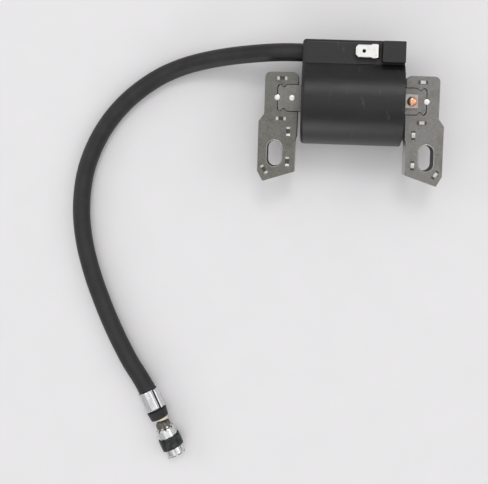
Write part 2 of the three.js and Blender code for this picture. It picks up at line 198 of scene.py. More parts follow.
def close(made, smooth):
    """Merges doubled points, turns every face outward, and shades smooth up to an angle."""
    work = bmesh.new()
    work.from_mesh(made.data)
    bmesh.ops.remove_doubles(work, verts=work.verts, dist=0.002 * MM)
    bmesh.ops.recalc_face_normals(work, faces=work.faces)
    work.to_mesh(made.data)
    work.free()
    made.data.polygons.foreach_set("use_smooth", [True] * len(made.data.polygons))
    made.data.set_sharp_from_angle(angle=math.radians(smooth))


def curve_through(route, spacing):
    """Points about one spacing apart on the centripetal Catmull-Rom curve through a route."""
    knots = [Vector(p) for p in route]
    knots = [2 * knots[0] - knots[1], *knots, 2 * knots[-1] - knots[-2]]
    line = []
    for a, b, c, d in zip(knots, knots[1:], knots[2:], knots[3:]):
        t = [0.0]
        for p, q in ((a, b), (b, c), (c, d)):
            t.append(t[-1] + math.sqrt((q - p).length))
        steps = max(1, round((c - b).length / spacing))
        for i in range(steps):
            u = t[1] + (t[2] - t[1]) * i / steps
            ab = a.lerp(b, (u - t[0]) / (t[1] - t[0]))
            bc = b.lerp(c, (u - t[1]) / (t[2] - t[1]))
            cd = c.lerp(d, (u - t[2]) / (t[3] - t[2]))
            abc = ab.lerp(bc, (u - t[0]) / (t[2] - t[0]))
            bcd = bc.lerp(cd, (u - t[1]) / (t[3] - t[1]))
            line.append(abc.lerp(bcd, (u - t[1]) / (t[2] - t[1])))
    return line + [knots[-2]]


def distances(line):
    """How far along the line each of its points is."""
    far = [0.0]
    for p, q in zip(line, line[1:]):
        far.append(far[-1] + (q - p).length)
    return far


def lead_radius(left):
    """The rubber's radius with that much of it left: it stands out as a collar past the crimp."""
    if left >= LEAD_END:
        return LEAD_R + SWELLING * math.exp(-((left - LEAD_END - CRIMP_REACH) / 1.6) ** 2)
    edge = 0.25 * max(0.0, 1 - left / CUT_ROUND) ** 2
    return LEAD_R + CUT_FLARE + (LEAD_FLARE - CUT_FLARE) * (left / LEAD_END) ** 1.3 - edge


# EPDM rubber, extruded: a soft sheen broken by die lines along it, and grey scuffs that lift the black. The
# lines are too fine to show and are drawn 0.7 mm apart
rubber, tree = new_finish("extruded_EPDM_rubber")
along = add(tree, "ShaderNodeUVMap", uv_map="metres")
stretch = add(tree, "ShaderNodeMapping", {"Vector": (along, "UV"), "Scale": (25, 1500, 1)})
lines = add(tree, "ShaderNodeTexNoise", {"Vector": (stretch, "Vector"), "Scale": 1.0, "Detail": 3.0})
place = add(tree, "ShaderNodeTexCoord")
grain = add(tree, "ShaderNodeTexNoise", {"Vector": (place, "Object"), "Scale": 2600.0, "Detail": 3.0})
scuffs = add(tree, "ShaderNodeTexNoise", {"Vector": (place, "Object"), "Scale": 140.0, "Detail": 7.0,
                                          "Roughness": 0.68})
worn = add(tree, "ShaderNodeMapRange", {"Value": (scuffs, "Fac"), "From Min": 0.4, "From Max": 0.72})
colour = add(tree, "ShaderNodeMix", {"Factor": (worn, "Result"), "A": to_linear("#171617"),
                                     "B": to_linear("#2a2828")}, data_type="RGBA")
dull = add(tree, "ShaderNodeMapRange", {"Value": (scuffs, "Fac"), "To Min": 0.4, "To Max": 0.64})
lined = add(tree, "ShaderNodeBump", {"Height": (lines, "Fac"), "Strength": 0.35, "Distance": 0.00015})
skin = add(tree, "ShaderNodeBump", {"Height": (grain, "Fac"), "Strength": 0.35, "Distance": 0.0001,
                                    "Normal": (lined, "Normal")})
gloss = add(tree, "ShaderNodeBsdfPrincipled", {"Base Color": (colour, "Result"), "IOR": 1.47,
                                               "Roughness": (dull, "Result"), "Normal": (skin, "Normal")})
add(tree, "ShaderNodeOutputMaterial", {"Surface": (gloss, "BSDF")})

fine_line = curve_through(LEAD_ROUTE, LEAD_FINE)
fine_far = distances(fine_line)
lead_line = [p for i, (p, far) in enumerate(zip(fine_line, fine_far))
             if i % 5 == 0 or fine_far[-1] - far < LEAD_END + 1]
lead_far = distances(lead_line)
shape = Shape()
side = Vector((0, 0, 1))
rings = []
for i, centre in enumerate(lead_line):
    ahead = (lead_line[min(i + 1, len(lead_line) - 1)] - lead_line[max(i - 1, 0)]).normalized()
    side = (side - ahead * side.dot(ahead)).normalized()
    r = lead_radius(lead_far[-1] - lead_far[i])
    angles = [2 * math.pi * k / LEAD_SIDES for k in range(LEAD_SIDES)]
    rings.append(shape.ring(centre + (side * math.cos(a) + ahead.cross(side) * math.sin(a)) * r
                            for a in angles))
girth = 2 * math.pi * LEAD_R / LEAD_SIDES
for (a, far_a), (b, far_b) in zip(zip(rings, lead_far), list(zip(rings, lead_far))[1:]):
    for k in range(LEAD_SIDES):
        spots = [(far_a, (k - 1) * girth), (far_a, k * girth), (far_b, k * girth), (far_b, (k - 1) * girth)]
        shape.face((a[k - 1], a[k], b[k], b[k - 1]), 0, spots)
shape.ends(rings)
lead = shape.piece("lead", [rubber], smooth=60, weigh=False)
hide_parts("lead_jacket")


# ---- Lead's insulation ----
# Cream coloured EPDM between the conductor and the black jacket. A slanting cut leaves it standing out
# of the jacket at the lead's end.
INSULATION_R = 2.9
INSULATION_OUT = 1.3


def grained_finish(name, light, dark, scale, dull, metallic=0.0, detail=4.0, coarse=0.5,
                   spread=(0.35, 0.65), relief=(0.4, 0.0001)):
    """Two tones in a grain, `scale` per metre on each axis. dull is the lowest and highest roughness, and
    relief the grain's strength and depth."""
    finish, tree = new_finish(name)
    place = add(tree, "ShaderNodeTexCoord")
    way = add(tree, "ShaderNodeMapping", {"Vector": (place, "Object"), "Scale": scale})
    grain = add(tree, "ShaderNodeTexNoise", {"Vector": (way, "Vector"), "Scale": 1.0, "Detail": detail,
                                             "Roughness": coarse})
    tone = add(tree, "ShaderNodeMapRange", {"Value": (grain, "Fac"), "From Min": spread[0],
                                            "From Max": spread[1]})
    colour = add(tree, "ShaderNodeMix", {"Factor": (tone, "Result"), "A": to_linear(light),
                                         "B": to_linear(dark)}, data_type="RGBA")
    rough = add(tree, "ShaderNodeMapRange", {"Value": (grain, "Fac"), "To Min": dull[0], "To Max": dull[1]})
    skin = add(tree, "ShaderNodeBump", {"Height": (grain, "Fac"), "Strength": relief[0],
                                        "Distance": relief[1]})
    body = add(tree, "ShaderNodeBsdfPrincipled", {"Base Color": (colour, "Result"), "Metallic": metallic,
                                                  "Roughness": (rough, "Result"), "Normal": (skin, "Normal")})
    add(tree, "ShaderNodeOutputMaterial", {"Surface": (body, "BSDF")})
    return finish


# Uncoloured EPDM with chalk filler: a dull cream with faint darker specks, about 0.5 mm apart
cream = grained_finish("cream_EPDM_insulation", "#f2e9d2", "#e2d5b4", (1800, 1800, 1800), (0.6, 0.6),
                       spread=(0.35, 0.7))

PLUG_START = Vector(LEAD_ROUTE[-3])
PLUG_TURN = -64
PLUG = Matrix.Translation(PLUG_START) @ Matrix.Rotation(math.radians(PLUG_TURN), 4, "Z")
LEAD_CUT = (Vector(LEAD_ROUTE[-1]) - PLUG_START).length   # lead's end, along the plug's axis


def slanted(x, r, angle):
    """The cut end leans: it stands out furthest on the plug's +Y side."""
    return Vector((x + INSULATION_OUT * (0.5 + 0.5 * math.cos(angle)) * (r / INSULATION_R) ** 2,
                   r * math.cos(angle), r * math.sin(angle)))


shape = Shape(PLUG)
angles = [2 * math.pi * k / 40 for k in range(40)]
end = ((0.02, INSULATION_R), (0.12, INSULATION_R - 0.08), (0.15, INSULATION_R - 0.25), (0.1, 1.3))
rings = [shape.ring((LEAD_CUT - 0.2, INSULATION_R * math.cos(a), INSULATION_R * math.sin(a)) for a in angles)]
rings += [shape.ring(slanted(LEAD_CUT + x, r, a) for a in angles) for x, r in end]
shape.loft(rings)
shape.ends(rings)
insulation = shape.piece("lead_insulation", [cream])


# ---- Crimp ----
# The plug socket's ferrule: 0.45 mm tinned sheet, rolled round the lead and squeezed in a fluted die.
# Its two edges don't quite meet, and one flap has slid along the other.
CRIMP_L = 8.2
CRIMP_R = 4.2
CRIMP_T = 0.45
CRIMP_BACK = -0.4               # its start on the plug's axis
CRIMP_SEAM = math.radians(45)   # the seam, from the plug's +Y side
CRIMP_GAP = math.radians(5)     # half the seam's opening
CRIMP_SLIP = 0.4                # how far one flap has slid past the other
CRIMP_FLUTES = 11
FLUTE_DEEP = 0.26
FLUTE_TURN = 1.05               # the flutes' place beside the seam
EDGE_SHARE = 0.012              # share of the sheet's width that each rounded edge takes


def tinned_finish(name, base, stain, roughness, streaks):
    """Tinned sheet: bright, with rolling streaks, `streaks` per metre on each axis, and a few dull stains.
    The streaks are drawn coarser than real ones, which are too fine to show."""
    finish, tree = new_finish(name)
    place = add(tree, "ShaderNodeTexCoord")
    drawn = add(tree, "ShaderNodeMapping", {"Vector": (place, "Object"), "Scale": streaks})
    lines = add(tree, "ShaderNodeTexNoise", {"Vector": (drawn, "Vector"), "Scale": 1.0, "Detail": 4.0})
    spots = add(tree, "ShaderNodeTexNoise", {"Vector": (place, "Object"), "Scale": 500.0, "Detail": 5.0,
                                             "Roughness": 0.6})
    worn = add(tree, "ShaderNodeMapRange", {"Value": (spots, "Fac"), "From Min": 0.5, "From Max": 0.8})
    colour = add(tree, "ShaderNodeMix", {"Factor": (worn, "Result"), "A": to_linear(base),
                                         "B": to_linear(stain)}, data_type="RGBA")
    dull = add(tree, "ShaderNodeMapRange", {"Value": (lines, "Fac"), "To Min": roughness - 0.08,
                                            "To Max": roughness + 0.12})
    drag = add(tree, "ShaderNodeBump", {"Height": (lines, "Fac"), "Strength": 0.25, "Distance": 0.00004})
    dents = add(tree, "ShaderNodeBump", {"Height": (spots, "Fac"), "Strength": 0.2, "Distance": 0.0001,
                                         "Normal": (drag, "Normal")})
    metal = add(tree, "ShaderNodeBsdfPrincipled", {"Base Color": (colour, "Result"), "Metallic": 1.0,
                                                   "Roughness": (dull, "Result"),
                                                   "Normal": (dents, "Normal")})
    add(tree, "ShaderNodeOutputMaterial", {"Surface": (metal, "BSDF")})
    return finish


crimp_tin = tinned_finish("tinned_sheet_pressed", "#d9d9db", "#adacab", 0.26, (600, 900, 900))


def crimp_section(thin):
    """Outer arc and inner arc of the rolled sheet, from one edge of the seam to the other."""
    steps = 96
    turns = [k / steps for k in range(steps + 1)]
    sweep = 2 * math.pi - 2 * CRIMP_GAP
    outer, inner = [], []
    for u in turns:
        a = CRIMP_SEAM + CRIMP_GAP + u * sweep
        flute = FLUTE_DEEP * (0.5 + 0.5 * math.cos(CRIMP_FLUTES * (a - CRIMP_SEAM) - FLUTE_TURN))
        edge = 0.12 * (max(0, 1 - u / EDGE_SHARE) + max(0, 1 - (1 - u) / EDGE_SHARE))
        outer.append((a, CRIMP_R - flute - edge - thin, u))
        inner.append((a, CRIMP_R - CRIMP_T - 0.6 * flute + thin, u))
    return outer + inner[::-1]


shape = Shape(PLUG @ Matrix.Translation((CRIMP_BACK, 0, 0)))
rings = []
stations = ((0, 0.12, 0.06), (0.1, 0.02, 0.05), (0.5, 0, 0), (2, 0, 0), (4.3, 0, 0), (6.6, 0, 0),
            (CRIMP_L - 0.5, 0, 0), (CRIMP_L - 0.1, 0.02, 0.05), (CRIMP_L, 0.12, 0.06))
for x, thin, mouth in stations:
    rings.append(shape.ring((x + CRIMP_SLIP * u, (r + mouth) * math.cos(a), (r + mouth) * math.sin(a))
                            for a, r, u in crimp_section(thin)))
shape.loft(rings)
shape.ends(rings)
crimp = shape.piece("crimp", [crimp_tin], smooth=50)
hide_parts("plug_crimp")


# ---- Plug socket ----
# The push-on socket that grips the spark plug's nut: drawn from plated steel, with a closed neck and eight
# fluted fingers, parted by slits. The neck, the pleats' grooves by the cup and the fingers' ends are painted
# dark, as painted shade and a painted reflection of the dark lead.
NECK_X = 13.0
CUP_X = 17.0
CUP_R = 4.0
CUP_BORE = 3.35
SOCKET_L = 29.2
FINGERS = 8
FINGER_SEAM = math.radians(75)   # one slit lies nearly on top
SLIT_HALF = 0.16
PLEAT_DEEP = 0.1                 # share of the neck's radius
GROOVE_DEEP = 0.22               # between the cup's flutes
PLEATS_FROM = 15.8               # from here the finish is mixed: painted shade and bright plating
BRIGHT_FROM = 18.0               # the bright plating starts here in the grooves, after the painted shade
BRIGHT_REACH = 1.9               # and this much nearer to the neck on the flutes

# Bright plating over drawn steel: clear reflections, soft lengthwise draw marks and a few dull spots
plate = tinned_finish("plated_steel_drawn", "#dadbda", "#aeada8", 0.24, (500, 900, 900))
# Painted shade: a dark copy of the plating for the neck, the pleats' grooves and the fingers' ends, in place
# of shade and of the dark lead's reflection
painted_shade_plate = tinned_finish("plated_steel_painted_shade", "#6f6b66", "#4b4641", 0.42, (900, 900, 900))


def socket_radius(x, r, angle):
    """The neck is pleated where the blank was gathered, and the cup is fluted, one flute to a finger."""
    wave = abs(math.sin((angle - FINGER_SEAM) * FINGERS / 2))
    if x < CUP_X:
        return r * (1 - PLEAT_DEEP * (1 - wave) ** 2)
    return r - GROOVE_DEEP * (1 - wave) ** 2


shape = Shape(PLUG)
neck = [(NECK_X, 0.9), (NECK_X + 0.05, 1.5), (13.4, 1.85), (13.9, 2.3), (14.4, 2.75), (14.9, 3.0),
        (15.5, 3.05), (16.4, 3.08), (16.9, 3.12)]
cup = [(CUP_X, 3.6), (17.15, 3.85), (17.4, 3.96), (17.7, 3.99), (18, CUP_R), (20.5, CUP_R), (23, CUP_R),
       (26, CUP_R), (28.2, CUP_R + 0.02), (28.7, CUP_R + 0.02)]
lip = [(28.8, CUP_R), (SOCKET_L - 0.2, CUP_R - 0.06), (SOCKET_L - 0.15, CUP_R - 0.2),
       (SOCKET_L - 0.15, CUP_BORE + 0.15), (28.9, CUP_BORE + 0.03)]
bore = [(28.6, CUP_BORE), (24, CUP_BORE), (20.9, CUP_BORE), (20.5, CUP_BORE - 0.2), (20.4, 2.6), (20.4, 1)]
# Finish 1, the painted shade, covers the neck and the lip at the fingers' ends
neck_rings = shape.turned(neck, 128, socket_radius, 1)
cup_rings = shape.turned(cup, 128, socket_radius)
lip_rings = shape.turned(lip, 128, socket_radius, 1)
bore_rings = shape.turned(bore, 128, socket_radius)
shape.bridge(neck_rings[-1], cup_rings[0], 1)
shape.bridge(cup_rings[-1], lip_rings[0], 1)
shape.bridge(lip_rings[-1], bore_rings[0], 1)
shape.cap(neck_rings[0], finish=1)
shape.cap(bore_rings[-1])
to_plug = PLUG.inverted()
# Painted shade in the grooves between the flutes next to the neck; the crests keep the bright plating
for i, corners in enumerate(shape.faces):
    spot = to_plug @ (sum((shape.points[k] for k in corners), Vector()) / len(corners))
    crest = abs(math.sin((math.atan2(spot.z, spot.y) - FINGER_SEAM) * FINGERS / 2))
    if PLEATS_FROM < spot.x < BRIGHT_FROM:
        shape.finish_of[i] = 0 if spot.x > BRIGHT_FROM - BRIGHT_REACH * crest else 1
socket = shape.piece("socket", [plate, painted_shade_plate], smooth=42)
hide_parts("plug_socket")


def carve(made, cutters, how="DIFFERENCE"):
    """Cuts the cutters out of a piece, or joins them to it, and leaves a plain mesh."""
    for cutter in cutters:
        step = made.modifiers.new("carve", "BOOLEAN")
        step.solver = "EXACT"
        step.operation = how
        step.object = cutter
        made.modifiers.move(len(made.modifiers) - 1, 0)
        with bpy.context.temp_override(object=made, active_object=made):
            bpy.ops.object.modifier_apply(modifier=step.name)
        bpy.data.objects.remove(cutter)


def cutter(shape):
    """A bare mesh object for a cut, which doesn't stay in the scene."""
    mesh = bpy.data.meshes.new("cutter")
    mesh.from_pydata([p * MM for p in shape.points], [], shape.faces)
    made = bpy.data.objects.new("cutter", mesh)
    bpy.context.scene.collection.objects.link(made)
    close(made, 35)
    return made


def prism(shape, outline, low, high):
    """A straight cutter: an outline in local X and Y, from low to high in local Z."""
    rings = [shape.ring((x, y, z) for x, y in outline) for z in (low, high)]
    shape.loft(rings)
    shape.ends(rings)
    return shape


slit = [(21.4, -SLIT_HALF), (28.2, -SLIT_HALF), (28.8, -0.3), (29.6, -0.95), (29.6, 0.95), (28.8, 0.3),
        (28.2, SLIT_HALF), (21.4, SLIT_HALF)]
slits = []
for i in range(FINGERS // 2):
    spin = Matrix.Rotation(FINGER_SEAM - math.pi / 2 + 2 * math.pi * i / FINGERS, 4, "X")
    slits.append(cutter(prism(Shape(PLUG @ spin), slit, -6, 6)))
carve(socket, slits)


# ---- Spring band ----
# A strip of blackened spring steel bent round the fingers. It keeps them pressed on the plug's nut.
BAND_X = 20.8
BAND_L = 5.0
BAND_R = 4.55

# Blackened spring steel: blue-black oxide, rubbed to a duller bare grey in cloudy spots
black_steel = grained_finish("blackened_spring_steel", "#303232", "#5c5f5f", (480, 480, 480), (0.3, 0.55),
                             0.75, detail=6.0, coarse=0.65, spread=(0.5, 0.72), relief=(0.25, 0.0001))

shape = Shape(PLUG)
profile = [(0.12, BAND_R - 0.32), (0, BAND_R - 0.2), (0.05, BAND_R - 0.07), (0.2, BAND_R),
           (1.6, BAND_R + 0.03), (BAND_L - 1.6, BAND_R + 0.03), (BAND_L - 0.2, BAND_R),
           (BAND_L - 0.05, BAND_R - 0.07), (BAND_L, BAND_R - 0.2), (BAND_L - 0.12, BAND_R - 0.32),
           (BAND_L - 1, BAND_R - 0.33), (1, BAND_R - 0.33)]
rings = shape.turned([(BAND_X + x, r) for x, r in profile], 72)
shape.bridge(rings[-1], rings[0])
band = shape.piece("band", [black_steel])
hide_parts("plug_band")


# ---- Coil case ----
# A cup of black glass-filled polyester, moulded in one: a drum round the windings, a box beside it for the
# trigger circuit, and a block that backs the stop tab. The bar and the lead come through its closed end.
bar_low, bar_high = (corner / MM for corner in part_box("core_bar"))
COIL = Matrix.Translation((bar_low + bar_high) / 2)   # the bar's middle: X along it, Y to the box
CASE_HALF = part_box("case_cup")[1].x / MM
DRUM_R = COIL.translation.z
WALL = 1.5
BOX_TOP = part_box("case_cup")[1].y / MM - COIL.translation.y
BOX_HALF = 10.4       # half the box's height
BOX_STEP = 13.1       # where the box's face ends at the drum
END_ROUND = 1.3
BAR_HOLE = 5.15       # half the side of the square hole round the bar
LEAD_HOLE_Y = 17.9
LEAD_HOLE_R = LEAD_R + 0.08

# Satin black moulding: glass fibres show as a fine grain, drawn at 0.3 mm, coarser than the fibres. The
# flow leaves cloudy bands, and handling leaves pale scuffs
moulding, tree = new_finish("glass_filled_polyester_moulded")
place = add(tree, "ShaderNodeTexCoord")
fibres = add(tree, "ShaderNodeTexNoise", {"Vector": (place, "Object"), "Scale": 3200.0, "Detail": 3.0})
stretch = add(tree, "ShaderNodeMapping", {"Vector": (place, "Object"), "Scale": (90, 260, 260)})
flow = add(tree, "ShaderNodeTexNoise", {"Vector": (stretch, "Vector"), "Scale": 1.0, "Detail": 5.0,
                                        "Roughness": 0.6})
cloudy = add(tree, "ShaderNodeMapRange", {"Value": (flow, "Fac"), "From Min": 0.35, "From Max": 0.7})
dark = add(tree, "ShaderNodeMix", {"Factor": (cloudy, "Result"), "A": to_linear("#0e0e10"),
                                   "B": to_linear("#171718")}, data_type="RGBA")
scratch_way = add(tree, "ShaderNodeMapping", {"Vector": (place, "Object"), "Scale": (620, 190, 190),
                                              "Rotation": (0, 0, 0.5)})
scratches = add(tree, "ShaderNodeTexNoise", {"Vector": (scratch_way, "Vector"), "Scale": 1.0, "Detail": 4.0})
scuffed = add(tree, "ShaderNodeMapRange", {"Value": (scratches, "Fac"), "From Min": 0.64, "From Max": 0.82,
                                           "To Max": 0.22})
colour = add(tree, "ShaderNodeMix", {"Factor": (scuffed, "Result"), "A": (dark, "Result"),
                                     "B": to_linear("#6a696b")}, data_type="RGBA")
dull = add(tree, "ShaderNodeMapRange", {"Value": (flow, "Fac"), "To Min": 0.3, "To Max": 0.46})
waves = add(tree, "ShaderNodeBump", {"Height": (flow, "Fac"), "Strength": 0.25, "Distance": 0.0003})
skin = add(tree, "ShaderNodeBump", {"Height": (fibres, "Fac"), "Strength": 0.3, "Distance": 0.00006,
                                    "Normal": (waves, "Normal")})
satin = add(tree, "ShaderNodeBsdfPrincipled", {"Base Color": (colour, "Result"), "IOR": 1.46,
                                               "Roughness": (dull, "Result"), "Normal": (skin, "Normal")})
add(tree, "ShaderNodeOutputMaterial", {"Surface": (satin, "BSDF")})


def arc(cx, cy, r, start, end, steps):
    """Points on an arc, in degrees from start to end."""
    angles = [math.radians(start + (end - start) * k / steps) for k in range(steps + 1)]
    return [(cx + r * math.cos(a), cy + r * math.sin(a)) for a in angles]


def case_outline(inset):
    """The case's section in Y and Z, moved inward by inset. All insets give the same count of points."""
    r = DRUM_R - inset
    half, top, step = BOX_HALF - inset, BOX_TOP - inset, BOX_STEP - inset
    corner = max(1.2 - inset, 0.25)
    ridge = math.sqrt((r - 0.15) ** 2 - step ** 2)
    start = math.degrees(math.atan2(ridge, step)) + 1.2
    upper = [*arc(top - corner, half - corner, corner, 0, 90, 6),
             (step + 0.35, half), (step + 0.1, half + 0.12), (step, half + 0.35),
             (step, ridge - 0.3), (step - 0.08, ridge - 0.08),
             *arc(0, 0, r, start, 90, 16)]
    lower = [(y, -z) for y, z in reversed(upper)]
    return [*upper, *arc(0, 0, r, 90, 270, 72)[1:-1], *lower]


def rounded_square(half, corner):
    """A square with rounded corners, counter-clockwise."""
    c = half - corner
    corners = ((c, c, 0), (-c, c, 90), (-c, -c, 180), (c, -c, 270))
    return [spot for x, y, a in corners for spot in arc(x, y, corner, a, a + 90, 4)]


def bar_hole(grow):
    """The bar's hole in the closed end, in Y and Z."""
    return rounded_square(BAR_HOLE + grow, 0.5 + grow)


def lead_hole(grow):
    """The lead's hole in the closed end, in Y and Z."""
    return arc(LEAD_HOLE_Y, 0, LEAD_HOLE_R + grow, 0, 360 - 360 / LEAD_SIDES, LEAD_SIDES - 1)


def across_bar(shape, outline, x):
    """A ring from an outline in Y and Z, at x along the bar."""
    return shape.ring((x, y, z) for y, z in outline)


shape = Shape(COIL)
rounding = [(END_ROUND * (1 - math.sin(a)), END_ROUND * (1 - math.cos(a)))
            for a in (math.radians(d) for d in range(0, 91, 15))]
outer = [across_bar(shape, case_outline(round_in), -CASE_HALF + round_x)
         for round_in, round_x in rounding]
outer += [across_bar(shape, case_outline(inset), x) for inset, x in
          ((0, -8), (0, 6), (0, CASE_HALF - 0.3), (0.06, CASE_HALF - 0.08), (0.28, CASE_HALF))]
inner = [across_bar(shape, case_outline(WALL - inset), x) for inset, x in
         ((0.25, CASE_HALF), (0.05, CASE_HALF - 0.1), (0, CASE_HALF - 0.3), (0, 0), (0, WALL - CASE_HALF))]
shape.loft([*outer, *inner])
holes = []
levels = ((0.35, -CASE_HALF), (0.1, -CASE_HALF + 0.1), (0, -CASE_HALF + 0.35), (0, WALL - CASE_HALF))
for hole in (bar_hole, lead_hole):
    holes.append([across_bar(shape, hole(grow), x) for grow, x in levels])
    shape.loft(holes[-1])
shape.cap(outer[0], [rings[0] for rings in holes])
shape.cap(inner[-1], [rings[-1] for rings in holes])
case = shape.piece("coil_case", [moulding], smooth=32)
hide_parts("case_cup")


def rounded(corners, steps=4):
    """An outline from (x, y, radius) corners. A radius of 0 leaves the corner sharp."""
    line = []
    for i, (x, y, r) in enumerate(corners):
        p = Vector((x, y))
        if r == 0:
            line.append(tuple(p))
            continue
        a = (Vector(corners[i - 1][:2]) - p).normalized()
        b = (Vector(corners[(i + 1) % len(corners)][:2]) - p).normalized()
        half = a.angle(b) / 2
        centre = p + (a + b).normalized() * (r / math.sin(half))
        u = p + a * (r / math.tan(half)) - centre
        v = p + b * (r / math.tan(half)) - centre
        swing = math.atan2(u.x * v.y - u.y * v.x, u.dot(v))
        for k in range(steps + 1):
            line.append(tuple(centre + Matrix.Rotation(swing * k / steps, 2) @ u))
    return line


def inset(outline, depth):
    """A counter-clockwise outline moved inward by a depth, or outward where it is negative."""
    points = [Vector(p[:2]) for p in outline]
    moved = []
    for i, p in enumerate(points):
        a = (p - points[i - 1]).normalized()
        b = (points[(i + 1) % len(points)] - p).normalized()
        lean = Vector((-a.y - b.y, a.x + b.x))
        moved.append(tuple(p + lean * (depth / max(0.5, 1 + a.dot(b)))))
    return moved


# The backstop: a block with a little draft that stands off the box beside the tab's stem
BLOCK_END = CASE_HALF - 0.06
BACKSTOP = [(10.4, 13.7, 0.7), (BLOCK_END, 13.7, 0.5), (BLOCK_END, 21.9, 0.5), (10.4, 21.9, 0.7)]
TAB_SLOT = [(8.2, 15.3), (9.6, 15.3), (9.6, 20.3), (8.2, 20.3)]
block = Shape(COIL)
levels = ((BOX_HALF - 0.7, 0), (BOX_HALF + 1, 0.02), (13.65, 0.08), (13.88, 0.14), (13.97, 0.25), (14, 0.4))
rings = [block.ring((x, y, z) for x, y in inset(rounded(BACKSTOP), depth)) for z, depth in levels]
block.loft(rings)
block.ends(rings)
carve(case, [cutter(block)], "UNION")
carve(case, [cutter(prism(Shape(COIL), TAB_SLOT, 7, 12))])
close(case, 32)


# ---- Potting ----
# Black epoxy, poured in at the open end once the coil and circuit are in. It creeps up the case wall and
# the core as it sets, and sinks a little in the middle.
POTTING_BACK = 16.3
POTTING_TOP = CASE_HALF - 0.5
SUNK = 0.45           # how far the middle lies below the rim

# Poured epoxy: near black and glossy, with slow ripples from the pour and fine dust set in it
epoxy, tree = new_finish("poured_black_epoxy")
place = add(tree, "ShaderNodeTexCoord")
ripple = add(tree, "ShaderNodeTexNoise", {"Vector": (place, "Object"), "Scale": 170.0, "Detail": 2.0})
dust = add(tree, "ShaderNodeTexNoise", {"Vector": (place, "Object"), "Scale": 2400.0, "Detail": 4.0})
specks = add(tree, "ShaderNodeMapRange", {"Value": (dust, "Fac"), "From Min": 0.62, "From Max": 0.72})
colour = add(tree, "ShaderNodeMix", {"Factor": (specks, "Result"), "A": to_linear("#1c1c1d"),
                                     "B": to_linear("#3f3e3c")}, data_type="RGBA")
pour = add(tree, "ShaderNodeBump", {"Height": (ripple, "Fac"), "Strength": 0.6, "Distance": 0.0006})
dull = add(tree, "ShaderNodeMapRange", {"Value": (dust, "Fac"), "To Min": 0.12, "To Max": 0.3})
glossy = add(tree, "ShaderNodeBsdfPrincipled", {"Base Color": (colour, "Result"), "IOR": 1.55,
                                                "Roughness": (dull, "Result"), "Normal": (pour, "Normal")})
add(tree, "ShaderNodeOutputMaterial", {"Surface": (glossy, "BSDF")})

shape = Shape(COIL)
rim = ((0.02, POTTING_BACK), (0.02, POTTING_TOP), (0.12, POTTING_TOP - 0.02), (0.4, POTTING_TOP - 0.22),
       (0.9, POTTING_TOP - 0.36), (1.8, POTTING_TOP - SUNK))
rings = [across_bar(shape, case_outline(WALL + depth), x) for depth, x in rim]
shape.loft(rings)
creep = ((1.3, POTTING_TOP - SUNK), (0.6, POTTING_TOP - 0.34), (0.2, POTTING_TOP - 0.12),
         (0, POTTING_TOP + 0.1), (0, POTTING_BACK))
round_bar = [across_bar(shape, rounded_square(4.95 + depth, 0.15 + depth), x) for depth, x in creep]
shape.loft(round_bar)
shape.cap(rings[0], [round_bar[-1]])
shape.cap(rings[-1], [round_bar[0]])
potting = shape.piece("potting", [epoxy], smooth=50)
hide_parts("potting_resin")


# ---- Core ----
# Three stacks of 0.5 mm electrical steel sheet, blanked with interlocking joints: the bar through the
# drum, and a leg at each end. Small lances, half pushed through, lock each leg's sheets to each other.
SHEET = 0.5
STACK = bar_high.z - bar_low.z
BAR_HALF = (bar_high.y - bar_low.y) / 2
SEAM = 0.3
MOUTH = BAR_HALF + SEAM         # half the opening in a leg for the bar's tongue
TONGUE_X = 28.6
TOOTH_X = 26.1
PIN_R = 1.0
PIN_HOLE_R = PIN_R + 0.05
END_GAP = 1.2                   # the gap at the tongue's end, as a share of the one at its sides
LEG_IN, LEG_OUT, FOOT_OUT, LEG_TOP = 20.6, 33.5, 35.6, 9.8
SLOT_AT = (29.15, -21.5)
SLOT_W, SLOT_L = 5.6, 10.0
LANCES = ((26.9, 7.45, 0, 3.8, 1.35), (27.0, -8.05, 0, 3.8, 1.35), (24.0, -12.9, 90, 3.5, 1.5),
          (24.05, -24.5, 90, 3.6, 1.5), (32.9, -27.8, 55, 3.7, 1.35))   # x, y, turn, length, width
LANCE_DEPTH = 0.45


